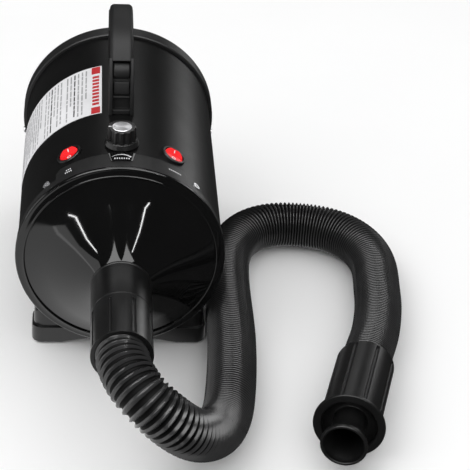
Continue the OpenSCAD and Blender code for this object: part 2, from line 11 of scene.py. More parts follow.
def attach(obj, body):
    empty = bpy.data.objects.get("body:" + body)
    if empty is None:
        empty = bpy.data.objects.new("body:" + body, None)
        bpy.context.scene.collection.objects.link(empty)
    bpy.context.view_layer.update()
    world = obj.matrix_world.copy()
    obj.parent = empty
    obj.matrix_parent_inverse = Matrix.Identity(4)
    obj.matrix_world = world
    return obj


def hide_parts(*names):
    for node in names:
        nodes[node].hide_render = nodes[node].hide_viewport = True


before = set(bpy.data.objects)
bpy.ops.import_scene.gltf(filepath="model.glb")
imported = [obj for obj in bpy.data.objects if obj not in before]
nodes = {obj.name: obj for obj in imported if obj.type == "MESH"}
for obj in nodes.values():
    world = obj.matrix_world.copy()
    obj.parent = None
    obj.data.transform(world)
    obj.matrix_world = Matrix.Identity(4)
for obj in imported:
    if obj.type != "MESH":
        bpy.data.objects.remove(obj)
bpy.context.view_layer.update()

MM = 0.001
FRONT_Y = -88.0  # the front rim's plane
AXIS_H = 105.0  # height of the body's axis
SHELL_R = 90.0


# ---- Camera ---------------------------------------------------------------


def make_camera():
    """A long lens, high in front of the dryer and slightly to its left."""
    yaw, pitch, roll = (math.radians(a) for a in (5.6393, 33.2912, 3.5584))
    fwd = Vector((math.sin(yaw) * math.cos(pitch), math.cos(yaw) * math.cos(pitch), -math.sin(pitch)))
    level = Vector((math.cos(yaw), -math.sin(yaw), 0))
    above = level.cross(fwd)
    right = math.cos(roll) * level + math.sin(roll) * above
    up = -math.sin(roll) * level + math.cos(roll) * above
    data = bpy.data.cameras.new("camera")
    data.sensor_width = 36
    data.lens = 131.41
    data.clip_start, data.clip_end = 0.05, 50
    cam = bpy.data.objects.new("camera", data)
    bpy.context.scene.collection.objects.link(cam)
    m = Matrix.Identity(4)
    for i, axis in enumerate((right, up, -fwd)):
        for j in range(3):
            m[j][i] = axis[j]
    for j, x in enumerate((-0.02364, -1.33077, 0.95016)):
        m[j][3] = x
    cam.matrix_world = m
    bpy.context.scene.camera = cam


make_camera()


# ---- Materials ------------------------------------------------------------


def material(
    name, dark, light, rough, rough_var=0.05, metal=0.0, cloud=35.0, grain=1500.0, bump=0.0, depth=0.0002,
    bevel=0.0, coat=0.0, coat_rough=0.1, spec=0.5, sheen=0.0, aniso=0.0, glow=0.0,
):
    """Two close tones in soft clouds, roughness that varies with them, and a fine grain in the bump.
    cloud and grain are in cycles per metre; depth is the grain's height in metres."""
    m = bpy.data.materials.new(name)
    m.use_nodes = True
    tree = m.node_tree
    tree.nodes.clear()
    add, link = tree.nodes.new, tree.links.new
    out, bsdf = add("ShaderNodeOutputMaterial"), add("ShaderNodeBsdfPrincipled")
    link(bsdf.outputs[0], out.inputs[0])
    where = add("ShaderNodeTexCoord").outputs["Object"]
    clouds = add("ShaderNodeTexNoise")
    clouds.inputs["Scale"].default_value = cloud
    clouds.inputs["Detail"].default_value = 4
    clouds.inputs["Roughness"].default_value = 0.6
    link(where, clouds.inputs["Vector"])
    tones = add("ShaderNodeValToRGB")
    tones.color_ramp.elements[0].position, tones.color_ramp.elements[1].position = 0.3, 0.7
    tones.color_ramp.elements[0].color, tones.color_ramp.elements[1].color = (*dark, 1), (*light, 1)
    link(clouds.outputs["Fac"], tones.inputs[0])
    link(tones.outputs[0], bsdf.inputs["Base Color"])
    span = add("ShaderNodeMapRange")
    span.inputs["From Min"].default_value, span.inputs["From Max"].default_value = 0.3, 0.7
    span.inputs["To Min"].default_value = max(0.02, rough - rough_var)
    span.inputs["To Max"].default_value = min(1.0, rough + rough_var)
    link(clouds.outputs["Fac"], span.inputs["Value"])
    link(span.outputs[0], bsdf.inputs["Roughness"])
    bsdf.inputs["Metallic"].default_value = metal
    bsdf.inputs["Specular IOR Level"].default_value = spec
    bsdf.inputs["Coat Weight"].default_value = coat
    bsdf.inputs["Coat Roughness"].default_value = coat_rough
    bsdf.inputs["Sheen Weight"].default_value = sheen
    bsdf.inputs["Anisotropic"].default_value = aniso
    # glow paints light into the surface as emission in its light tone
    bsdf.inputs["Emission Color"].default_value = (*light, 1)
    bsdf.inputs["Emission Strength"].default_value = glow
    edge = None
    if bevel:
        edge = add("ShaderNodeBevel")
        edge.samples = 4
        edge.inputs["Radius"].default_value = bevel
        link(edge.outputs[0], bsdf.inputs["Normal"])
    if bump:
        fine = add("ShaderNodeTexNoise")
        fine.inputs["Scale"].default_value = grain
        fine.inputs["Detail"].default_value = 2
        link(where, fine.inputs["Vector"])
        raised = add("ShaderNodeBump")
        raised.inputs["Strength"].default_value = bump
        raised.inputs["Distance"].default_value = depth
        link(fine.outputs["Fac"], raised.inputs["Height"])
        if edge:
            link(edge.outputs[0], raised.inputs["Normal"])
        link(raised.outputs[0], bsdf.inputs["Normal"])
    return m


def grey(v):
    return (v, v, v * 1.02)


MATS = {
    "black_steel": material(
        "black_steel", grey(0.0035), grey(0.005), 0.38, 0.03, bump=0.10, grain=2500, depth=0.00008,
        spec=0.22),
    "gloss_black": material(
        "gloss_black", grey(0.0028), grey(0.004), 0.055, 0.015, cloud=18, bump=0.02, grain=400,
        depth=0.00005),
    "dark_grey_plastic": material(
        "dark_grey_plastic", grey(0.012), grey(0.017), 0.42, 0.05, bump=0.25, grain=2200, bevel=0.0006,
        spec=0.4),
    "handle_plastic": material(
        "handle_plastic", grey(0.012), grey(0.017), 0.5, 0.05, bump=0.2, grain=2200, bevel=0.0006,
        spec=0.22),
    "black_plastic": material(
        "black_plastic", grey(0.006), grey(0.009), 0.30, 0.05, bump=0.15, grain=2200, bevel=0.0006),
    # The hose is one plastic in a lit copy and a shaded copy: the crest tone is painted light, the valley
    # tone painted shade
    "hose_plastic": material("hose_plastic", grey(0.026), grey(0.034), 0.22, 0.03, bump=0.06, grain=1800),
    "hose_valley_painted_shade": material(
        "hose_valley_painted_shade", grey(0.0008), grey(0.0012), 0.6, 0.05, bump=0.06, grain=1800, spec=0.1),
    "cuff_plastic": material(
        "cuff_plastic", grey(0.006), grey(0.008), 0.34, 0.03, bump=0.08, grain=1800, bevel=0.0006, spec=0.4),
    "soft_black": material("soft_black", grey(0.010), grey(0.016), 0.7, 0.08, bump=0.4, grain=1500),
    # The rockers' red plastic glows a little with no lamp behind it: painted light standing in for light
    # through the plastic
    "red_plastic": material(
        "red_plastic", (0.70, 0.003, 0.006), (0.85, 0.006, 0.010), 0.25, 0.03, coat=0.25, coat_rough=0.12,
        bevel=0.0004, glow=0.22),
    "label_film": material("label_film", grey(0.74), grey(0.82), 0.35, 0.05),
    "label_red": material("label_red", (0.52, 0.012, 0.018), (0.6, 0.02, 0.025), 0.35, 0.05),
    "label_grey": material("label_grey", grey(0.30), grey(0.40), 0.35, 0.05),
    "label_dark": material("label_dark", grey(0.04), grey(0.07), 0.35, 0.05),
    "print_white": material("print_white", grey(0.72), grey(0.8), 0.4, 0.05),
    "zinc_steel": material(
        "zinc_steel", grey(0.62), grey(0.76), 0.42, 0.08, metal=1.0, bump=0.2, grain=1200, bevel=0.0003),
    "spun_aluminium": material("spun_aluminium", grey(0.82), grey(0.9), 0.40, 0.04, metal=1.0, aniso=0.7),
    "core_steel": material("core_steel", grey(0.28), grey(0.4), 0.4, 0.1, metal=1.0, bump=0.2),
    "copper": material("copper", (0.5, 0.2, 0.09), (0.62, 0.27, 0.12), 0.3, 0.08, metal=1.0, bump=0.2),
    "carbon": material("carbon", grey(0.02), grey(0.04), 0.6, 0.1, bump=0.3),
    "foam": material(
        "foam", grey(0.012), grey(0.03), 0.9, 0.05, cloud=300, bump=1.0, grain=700, depth=0.001, sheen=0.3),
    "board_green": material("board_green", (0.01, 0.09, 0.03), (0.02, 0.14, 0.05), 0.35, 0.05, bump=0.2),
    "mica": material("mica", (0.4, 0.32, 0.2), (0.55, 0.46, 0.32), 0.5, 0.1, bump=0.4),
}


def radial_sheen(m):
    """Lathe marks run round the piece's own Z axis."""
    tangent = m.node_tree.nodes.new("ShaderNodeTangent")
    tangent.direction_type = "RADIAL"
    tangent.axis = "Z"
    bsdf = next(n for n in m.node_tree.nodes if n.type == "BSDF_PRINCIPLED")
    m.node_tree.links.new(tangent.outputs[0], bsdf.inputs["Tangent"])


radial_sheen(MATS["spun_aluminium"])


# ---- Making pieces --------------------------------------------------------


def piece(name, verts, faces, mat, body="dryer_body", smooth=35.0, origin=None, mats=None, which=None):
    """A mesh in the row frame, in millimetres. smooth is the angle above which an edge stays sharp."""
    mesh = bpy.data.meshes.new(name)
    shift = np.array(origin if origin is not None else (0, 0, 0), float)
    local = (np.asarray(verts, float) - shift) * MM
    mesh.from_pydata([tuple(v) for v in local], [], [tuple(f) for f in faces])
    work = bmesh.new()
    work.from_mesh(mesh)
    bmesh.ops.recalc_face_normals(work, faces=work.faces)
    work.to_mesh(mesh)
    work.free()
    if smooth:
        mesh.shade_smooth()
        mesh.set_sharp_from_angle(angle=math.radians(smooth))
    for m in mats or [mat]:
        mesh.materials.append(MATS[m])
    if which is not None:
        mesh.polygons.foreach_set("material_index", which)
    obj = bpy.data.objects.new(name, mesh)
    obj.location = Vector(shift) * MM
    bpy.context.scene.collection.objects.link(obj)
    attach(obj, body)
    return obj


def revolve(profile, place, n=128, closed=True):
    """Revolves [radius, height] points about local Z. place turns local points into the row frame."""
    profile = np.asarray(profile, float)
    verts, faces, rings = [], [], []
    for r, z in profile:
        if r < 1e-6:
            rings.append([len(verts)] * n)
            verts.append((0, 0, z))
        else:
            rings.append(list(range(len(verts), len(verts) + n)))
            turns = [2 * math.pi * k / n for k in range(n)]
            verts.extend((r * math.cos(a), r * math.sin(a), z) for a in turns)
    pairs = list(zip(rings, rings[1:])) + ([(rings[-1], rings[0])] if closed else [])
    for a, b in pairs:
        for k in range(n):
            m = (k + 1) % n
            f = list(dict.fromkeys((a[k], a[m], b[m], b[k])))
            if len(f) > 2:
                faces.append(f)
    return place(np.array(verts)), faces


def on_body(v):
    """Local Z is the body's axis, measured from the front rim."""
    return np.stack([v[:, 0], FRONT_Y + v[:, 2], AXIS_H + v[:, 1]], 1)


def radial(a, depth):
    """Local Z points away from the body's axis at an angle from the top; z = 0 on the axis."""
    c, s = math.cos(math.radians(a)), math.sin(math.radians(a))

    def place(v):
        x, y, z = np.asarray(v, float).T
        return np.stack([c * x + s * z, FRONT_Y + depth + y, AXIS_H - s * x + c * z], 1)

    return place


def curve_between(a, mid, b, n):
    a, mid, b = (np.array(p, float) for p in (a, mid, b))
    t = np.linspace(0, 1, n)[:, None]
    return ((1 - t) ** 2 * a + 2 * t * (1 - t) * mid + t**2 * b).tolist()


def on_shell(depths, angles, r):
    """Points on a cylinder round the body's axis."""
    a = np.radians(np.asarray(angles, float))
    return np.stack([r * np.sin(a), FRONT_Y + np.asarray(depths, float), AXIS_H + r * np.cos(a)], 1)


def patch(outline_rows, r0, r1, cells=1):
    """A thin curved bar on the shell: from depth d0 to d1 and angle a0 to a1, between two radii."""
    d0, d1, a0, a1 = outline_rows
    n = max(1, int(abs(a1 - a0) / 2) + 1, cells)
    angles = np.linspace(a0, a1, n + 1)
    verts = np.concatenate([on_shell([d] * (n + 1), angles, r) for r in (r0, r1) for d in (d0, d1)])
    w = n + 1
    faces = []
    for k in range(n):
        faces.append((k, k + 1, w + k + 1, w + k))
        faces.append((2 * w + k, 3 * w + k, 3 * w + k + 1, 2 * w + k + 1))
        faces.append((k, 2 * w + k, 2 * w + k + 1, k + 1))
        faces.append((w + k, w + k + 1, 3 * w + k + 1, 3 * w + k))
    for k in (0, n):
        faces.append((k, w + k, 3 * w + k, 2 * w + k))
    return verts, faces


def joined(parts):
    """Several (verts, faces, material number) as one mesh."""
    verts, faces, which, base = [], [], [], 0
    for v, f, m in parts:
        verts.append(np.asarray(v, float))
        faces.extend(tuple(i + base for i in one) for one in f)
        which.extend([m] * len(f))
        base += len(v)
    return np.concatenate(verts), faces, which


# ---- Hose -----------------------------------------------------------------

# The route in part.scad, from the cuff's socket to the hand grip's socket
HOSE = [
    (0, -211, 105), (0, -229, 105), (4.5, -248.5, 102.5), (17, -267, 94), (35.5, -274, 78),
    (54.5, -268, 58), (71, -249, 39.5), (83, -225, 27), (91, -199, 22), (95.5, -170, 22),
    (98.5, -140, 22), (100.5, -110, 22),
    (101.5, -80, 22), (101.5, -50, 22), (101.5, -20, 22), (102.5, 11, 22), (106, 39, 22), (115.5, 65, 22),
    (133, 85.5, 22), (156, 95, 22), (182, 95, 22), (207, 87.5, 22), (228, 71, 22), (241, 48, 22),
    (246, 20, 22), (244.5, -10, 22), (242, -40, 22), (237.5, -67, 22.5), (231.5, -92, 23.5),
    (224, -115, 24.9), (216.77, -138.61, 26.29), (210.17, -161.64, 27.55),
]
GRIP_AT = np.array([192.0, -225.0, 31.0])
GRIP_DIR = np.array([-0.27526, -0.959944, 0.052336])
GRIP_YAW = 16.0
HOSE_R = 22.0
# Rib pitch along the length, and each rib's depth and roundness by its own pitch
RIB_PITCH = ((0, 95, 150, 215, 260), (5.6, 5.4, 4.2, 3.0, 2.8))
LEAST_PITCH = 2.6
RIB_DEPTH = ((1.2, 2.2, 3.0, 5.5), (0.8, 1.5, 1.9, 2.9))
RIB_ROUND = ((2.2, 3.5, 5.5), (0.5, 1.0, 2.0))


def spline(points, first, last, step):
    """A smooth curve through the points that leaves along first and arrives along last, in even steps."""
    p = np.array(points, float)
    h = np.linalg.norm(np.diff(p, axis=0), axis=1)
    n = len(p)
    a, b = np.zeros((n, n)), np.zeros((n, 3))
    a[0, 0] = a[-1, -1] = 1
    b[0], b[-1] = first, last
    for i in range(1, n - 1):
        a[i, i - 1], a[i, i], a[i, i + 1] = h[i], 2 * (h[i - 1] + h[i]), h[i - 1]
        b[i] = 3 * (h[i] * (p[i] - p[i - 1]) / h[i - 1] + h[i - 1] * (p[i + 1] - p[i]) / h[i])
    slope = np.linalg.solve(a, b)
    fine = []
    for i in range(n - 1):
        t = np.linspace(0, 1, max(8, int(h[i] / 0.1)), endpoint=False)[:, None]
        fine.append(
            (2 * t**3 - 3 * t**2 + 1) * p[i] + (t**3 - 2 * t**2 + t) * h[i] * slope[i]
            + (3 * t**2 - 2 * t**3) * p[i + 1] + (t**3 - t**2) * h[i] * slope[i + 1]
        )
    fine = np.concatenate(fine + [p[-1:]])
    at = np.concatenate([[0], np.cumsum(np.linalg.norm(np.diff(fine, axis=0), axis=1))])
    s = np.linspace(0, at[-1], int(at[-1] / step) + 1)
    return s, np.stack([np.interp(s, at, fine[:, k]) for k in range(3)], 1)


def make_hose():
    s, line = spline(HOSE, (0, -1, 0), GRIP_DIR, 0.25)
    tangent = np.gradient(line, s, axis=0)
    tangent /= np.linalg.norm(tangent, axis=1)[:, None]
    turn = np.gradient(tangent, s, axis=0)
    # The curvature is smoothed, so that the ribs' spacing changes gently
    reach = 30
    kernel = np.hanning(2 * reach + 1)
    kernel /= kernel.sum()
    padded = np.pad(turn, ((reach, reach), (0, 0)), mode="edge")
    turn = np.stack([np.convolve(padded[:, k], kernel, "valid") for k in range(3)], 1)
    bend = np.linalg.norm(turn, axis=1)
    # Frames that don't twist
    side = np.zeros_like(line)
    side[0] = np.cross((0, 0, 1), tangent[0])
    for i in range(1, len(line)):
        v = side[i - 1] - tangent[i] * np.dot(side[i - 1], tangent[i])
        side[i] = v / np.linalg.norm(v)
    other = np.cross(tangent, side)
    # The ribs are pulled out near the cuff, closed up further on, and opened out round each bend
    pulled = np.interp(s, *RIB_PITCH)
    pitch = np.maximum(pulled, LEAST_PITCH / np.clip(1 - bend * HOSE_R, 0.33, 1))
    phase = np.concatenate([[0], np.cumsum(0.5 * (1 / pitch[1:] + 1 / pitch[:-1]) * np.diff(s))])
    per, around = 8, 44
    rings = np.arange(0, phase[-1], 1 / per)
    at = np.interp(rings, phase, s)

    def pick(values):
        if values.ndim == 1:
            return np.interp(at, s, values)
        return np.stack([np.interp(at, s, values[:, k]) for k in range(values.shape[1])], 1)

    centre, u, v, t, curl, gap = (pick(x) for x in (line, side, other, tangent, turn, pitch))
    theta = 2 * np.pi * np.arange(around) / around
    out = np.cos(theta)[None, :, None] * u[:, None, :] + np.sin(theta)[None, :, None] * v[:, None, :]
    local = gap[:, None] * (1 - np.einsum("ik,ijk->ij", curl, out) * HOSE_R)
    deep = np.interp(local, *RIB_DEPTH)
    power = np.interp(local, *RIB_ROUND)
    wave = np.cos(np.pi * rings)[:, None] ** 2
    r = HOSE_R - deep * (1 - wave**power)
    verts = (centre[:, None, :] + r[:, :, None] * out).reshape(-1, 3)
    m = len(rings)
    i, k = np.meshgrid(np.arange(m - 1), np.arange(around), indexing="ij")
    k2 = (k + 1) % around
    a, b = i * around, (i + 1) * around
    faces = np.stack([a + k, a + k2, b + k2, b + k], -1).reshape(-1, 4)
    faces = [tuple(f) for f in faces.tolist()]
    faces.append(tuple(range(around)))
    faces.append(tuple((m - 1) * around + j for j in range(around)))
    # The middle half of each rib's length is its valley, in a far darker tone than the crest: painted shade
    # in the valleys and painted light on the crests
    shaded_rows = [per // 4 <= row % per < 3 * per // 4 for row in range(m - 1)]
    which = np.concatenate([np.repeat(np.array(shaded_rows, int), around), [0, 0]])
    hose = piece(
        "hose_ribbed", verts, faces, None, "hose_assembly", smooth=80, mats=["hose_plastic", "hose_valley_painted_shade"],
        which=which)
    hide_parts("hose")
    length = float(np.linalg.norm(np.diff(centre, axis=0), axis=1).sum())
    return hose, centre, length


hose, hose_line, hose_length = make_hose()


# ---- Nozzle fitting -------------------------------------------------------


def at_grip(v):
    """Local Z points out of the nozzle, from the back of the flange."""
    z = GRIP_DIR
    x = np.array([math.cos(math.radians(GRIP_YAW)), -math.sin(math.radians(GRIP_YAW)), 0])
    y = np.cross(z, x)
    v = np.asarray(v, float)
    return GRIP_AT + v[:, :1] * x + v[:, 1:2] * y + v[:, 2:] * z


def arc(cx, cz, r, a0, a1, n):
    turns = [math.radians(a) for a in np.linspace(a0, a1, n)]
    return [(cx + r * math.cos(a), cz + r * math.sin(a)) for a in turns]


def make_fitting():
    profile = (
        [(11.6, -24), (22.9, -24), (22.9, 0), (30.2, 0)]
        + arc(30.2, 0.8, 0.8, -90, 0, 5) + arc(30.0, 2.2, 1.0, 0, 90, 6)
        + [(27.5, 3.2)] + arc(25.0, 2.2, 0.9, 90, 160, 5)
        + curve_between((24.0, 1.6), (21.5, -5.2), (16.4, -5.8), 9)
        + curve_between((15.4, -5.8), (14.0, -5.6), (14.0, -3.8), 5)
        + curve_between((14.0, 1.5), (14.0, 17), (19.6, 27), 18) + [(20.0, 28.4)]
        + arc(18.6, 30.6, 1.4, -10, 190, 11)
        + curve_between((17.0, 28.5), (11.7, 17), (11.6, 4), 12)
    )
    verts, faces = revolve(profile, at_grip, 144)
    fitting = piece("nozzle_spigot", verts, faces, "cuff_plastic", "fitting", smooth=40)
    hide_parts("nozzle_fitting")
    return fitting


fitting = make_fitting()


# ---- Front cover ----------------------------------------------------------


def make_cover():
    neck = 24.0
    outside = (
        [(88.3, 22), (88.3, 4), (90.9, 4)] + arc(90.9, 3.2, 0.85, 90, 0, 4)
        + [(91.75, 1.8)] + arc(90.0, 1.75, 1.75, 0, -90, 8)
        + curve_between((89.0, 0), (87.2, -0.3), (85.3, -1.2), 6) + arc(84.4, -1.5, 0.9, 10, -190, 15)
        + [(82.2, -1.7), (64, -13.65), (46.4, -25.24)]
        + curve_between((46, -25.5), (27, -38), (neck, -42), 30) + [(neck, -42.6), (neck, -64)]
    )
    inside = [(21.5, -64), (21.5, -39.5), (30, -32.4), (79, -0.3), (84.5, 4), (84.5, 22)]
    verts, faces = revolve(outside + inside, on_body, 224)
    cover = piece("front_dome", verts, faces, "gloss_black", smooth=32)
    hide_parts("front_cover")


make_cover()


# ---- Handle ---------------------------------------------------------------

HANDLE_Y = 157.0
# Half-length and height of the arch's outer and inner faces
OUTER = (64.5, 69.5)
INNER = (44.5, 47.5)
ARCH_POWER = 2.3


def oval(half_l, height, t):
    """A point of the handle's arch: depth and height above the shell. t runs from 0, its front foot, to 1."""
    u = -math.cos(math.pi * t)
    return HANDLE_Y + half_l * u, height * (1 - abs(u) ** ARCH_POWER) ** (1 / ARCH_POWER)


def rounded(w, h, r, n=6):
    """A rounded rectangle of half-sizes w and h."""
    pts = []
    for cx, cy, a in ((w - r, h - r, 0), (r - w, h - r, 90), (r - w, r - h, 180), (w - r, r - h, 270)):
        for q in np.linspace(a, a + 90, n):
            pts.append((cx + r * math.cos(math.radians(q)), cy + r * math.sin(math.radians(q))))
    return np.array(pts)


def loft(sections):
    """Joins rings of equal length, and closes both ends."""
    n = len(sections[0])
    verts = np.concatenate(sections)
    faces = [
        (i * n + k, i * n + (k + 1) % n, (i + 1) * n + (k + 1) % n, (i + 1) * n + k)
        for i in range(len(sections) - 1) for k in range(n)
    ]
    faces += [tuple(range(n)), tuple((len(sections) - 1) * n + k for k in range(n))]
    return verts, faces


def handle_strip(t0, t1, x0, x1, outer_cut, inner_cut, r, n=24):
    """A length of the arch between two widths, cut back from its outer and inner faces."""
    sections = []
    for t in np.linspace(t0, t1, n):
        oy, oz = oval(*OUTER, t)
        iy, iz = oval(*INNER, t)
        o, i = np.array([oy, oz]), np.array([iy, iz])
        way = (o - i) / np.linalg.norm(o - i)
        o, i = o - way * outer_cut, i + way * inner_cut
        mid, half = (o + i) / 2, np.linalg.norm(o - i) / 2
        ring = rounded((x1 - x0) / 2, half, min(r, (x1 - x0) / 2 - 0.05, half - 0.05))
        x = ring[:, 0] + (x0 + x1) / 2
        yz = mid + ring[:, 1:] * way
        z = np.maximum(SHELL_R + yz[:, 1], np.sqrt(SHELL_R**2 - x**2) - 0.2)
        sections.append(np.stack([x, FRONT_Y + yz[:, 0], AXIS_H + z], 1))
    return loft(sections)


def block(x, y, z, r=0.8, place=None):
    """A box with bevelled edges, between the two numbers of each of x, y and z."""
    bm = bmesh.new()
    bmesh.ops.create_cube(bm, size=1)
    for v in bm.verts:
        v.co = Vector([(q[0] + q[1]) / 2 + c * (q[1] - q[0]) for q, c in zip((x, y, z), v.co)])
    bmesh.ops.bevel(bm, geom=bm.edges[:], offset=r, segments=3, profile=0.5, affect="EDGES")
    bm.verts.index_update()
    verts = np.array([v.co[:] for v in bm.verts])
    faces = [tuple(v.index for v in f.verts) for f in bm.faces]
    bm.free()
    return (place(verts) if place else verts), faces


def leg_frame(t):
    """Placing on the outer face of the arch: local X is across, Y runs up the leg, Z out of it."""
    (y0, z0), (y1, z1) = oval(*OUTER, max(t - 0.004, 0)), oval(*OUTER, t + 0.004)
    y, z = oval(*OUTER, t)
    up = np.array([0, y1 - y0, z1 - z0])
    up /= np.linalg.norm(up)
    across = np.array([1.0, 0, 0])
    out = np.cross(across, up)
    at = np.array([0, FRONT_Y + y, AXIS_H + SHELL_R + z])

    def place(v):
        v = np.asarray(v, float)
        return at + v[:, :1] * across + v[:, 1:2] * up + v[:, 2:] * out

    return place


def t_at(height):
    """Where the front leg's outer face reaches a height."""
    lo, hi = 0.0, 0.5
    for _ in range(40):
        mid = (lo + hi) / 2
        lo, hi = (mid, hi) if oval(*OUTER, mid)[1] < height else (lo, mid)
    return lo


def mirrored(verts):
    """The rear leg's copy of a front leg's piece."""
    out = verts.copy()
    out[:, 1] = 2 * (FRONT_Y + HANDLE_Y) - out[:, 1]
    return out


def make_handle():
    t_lip = t_at(48.0)
    verts, faces = handle_strip(t_lip, 1 - t_lip, -10.4, 10.4, 0, 0, 4.2, 60)
    grip = piece("handle_grip", verts, faces, "handle_plastic", smooth=50)
    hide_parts("handle")
    base = [
        # Two cheeks, a core set back between them, and the lip under the grip
        handle_strip(0, t_lip + 0.012, -11.2, -7.7, 0.6, 0.3, 1.2, 24),
        handle_strip(0, t_lip + 0.012, 7.7, 11.2, 0.6, 0.3, 1.2, 24),
        handle_strip(0, t_lip + 0.01, -8.2, 8.2, 6.0, 0.6, 1.0, 24),
    ]
    marks = [
        # Barrel, pad, rib and foot plate in the channel
        ("bar", t_at(41.0)), ("pad", t_at(25.5)), ("rib", t_at(17.0)), ("foot", t_at(3.2)),
    ]
    for kind, t in marks:
        place = leg_frame(t)
        if kind == "bar":
            turns = np.linspace(0, 2 * math.pi, 40, endpoint=False)
            ring = [(7.0 * math.cos(a), 6.4 * math.sin(a) - 5.6) for a in turns]
            rows = []
            for x, k in ((-7.0, 0.86), (-6.5, 0.97), (-6.0, 1.0), (6.0, 1.0), (6.5, 0.97), (7.0, 0.86)):
                rows.append(place([(x, y * k, (z + 5.6) * k - 5.6) for y, z in ring]))
            base.append(loft(rows))
        elif kind == "pad":
            base.append(block((-7.0, 7.0), (-5.6, 5.6), (-8, -3.4), 0.9, place))
        elif kind == "rib":
            base.append(block((-7.9, 7.9), (-0.8, 0.8), (-8, -3.0), 0.5, place))
        else:
            base.append(block((-7.9, 7.9), (-3.0, 1.6), (-8, -2.2), 0.6, place))
    front = joined([(v, f, 0) for v, f in base])
    leg = piece("handle_front_leg", front[0], front[1], "handle_plastic", smooth=45)
    rear = piece("handle_rear_leg", mirrored(front[0]), front[1], "handle_plastic", smooth=45)


make_handle()


# ---- Controls -------------------------------------------------------------

CONTROL_Y = 44.0
PIVOT_R = 87.0
TILT = 12.0
BOX_FACES = [(0, 1, 2, 3), (4, 5, 6, 7), (0, 1, 5, 4), (1, 2, 6, 5), (2, 3, 7, 6), (3, 0, 4, 7)]


def paddle_place(a):
    """Local frame of a rocker level between its stops, tipped as it stands at rest."""
    c, s = math.cos(math.radians(TILT)), math.sin(math.radians(TILT))
    place = radial(a, CONTROL_Y)

    def at(v):
        v = np.asarray(v, float)
        y, z = c * v[:, 1] - s * v[:, 2], s * v[:, 1] + c * v[:, 2]
        return place(np.stack([v[:, 0], y, z + PIVOT_R], 1))

    return at


def slope_z(y):
    """Top of the paddle in its own frame."""
    return 3.8 + abs(y) * math.tan(math.radians(TILT))


def bar_on(x0, x1, y0, y1, lift=0.07):
    """A printed bar on the paddle."""
    corners = ((x0, y0), (x1, y0), (x1, y1), (x0, y1))
    return [(x, y, slope_z(y) + h) for h in (-0.2, lift) for x, y in corners], BOX_FACES


def ring_on(cy, r0, r1, lift=0.07, n=40):
    verts, faces = [], []
    for h in (-0.2, lift):
        for r in (r0, r1):
            for k in range(n):
                a = 2 * math.pi * k / n
                y = cy + r * math.sin(a)
                verts.append((r * math.cos(a), y, slope_z(y) + h))
    for k in range(n):
        m = (k + 1) % n
        faces += [(k, m, n + m, n + k), (2 * n + k, 2 * n + m, 3 * n + m, 3 * n + k),
                  (k, m, 2 * n + m, 2 * n + k), (n + k, n + m, 3 * n + m, 3 * n + k)]
    return verts, faces


def make_rocker_marks():
    for side, name, body in ((-1, "power", "power_paddle"), (1, "heat", "heat_paddle")):
        place = paddle_place(side * 30)
        on, off = bar_on(-0.4, 0.4, 3.2, 6.2), ring_on(-3.3, 1.2, 1.9)
        verts, faces, _ = joined([(place(on[0]), on[1], 0), (place(off[0]), off[1], 0)])
        piece(f"{name}_rocker_marks", verts, faces, "print_white", body)


make_rocker_marks()


def make_knob_cap():
    """Spun cap with a turned face, and the pointer mark at its edge."""
    place = radial(0, CONTROL_Y)
    top = SHELL_R + 17.4
    rings = [(0, top - 0.35), (1.0, top - 0.33), (7.4, top - 0.05)]
    profile = rings + arc(7.9, top - 0.75, 0.75, 90, 0, 5)
    profile += [(8.7, top - 1.0), (8.7, top - 2.0), (0, top - 2.0)]
    verts, faces = revolve(profile, place, 96, closed=False)
    centre = (0, FRONT_Y + CONTROL_Y, AXIS_H + top)
    cap = piece("knob_cap_spun", verts, faces, "spun_aluminium", "knob", smooth=30, origin=centre)
    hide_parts("knob_cap")
    on_cap = block((-8.5, -5.6), (-0.3, 0.3), (top - 0.6, top + 0.06), 0.08, place)
    on_ring = block((-11.6, -8.95), (-0.6, 0.6), (top - 0.6, top - 0.22), 0.1, place)
    piece("knob_pointer", on_cap[0], on_cap[1], "carbon", "knob")
    piece("knob_ring_mark", on_ring[0], on_ring[1], "print_white", "knob")


make_knob_cap()


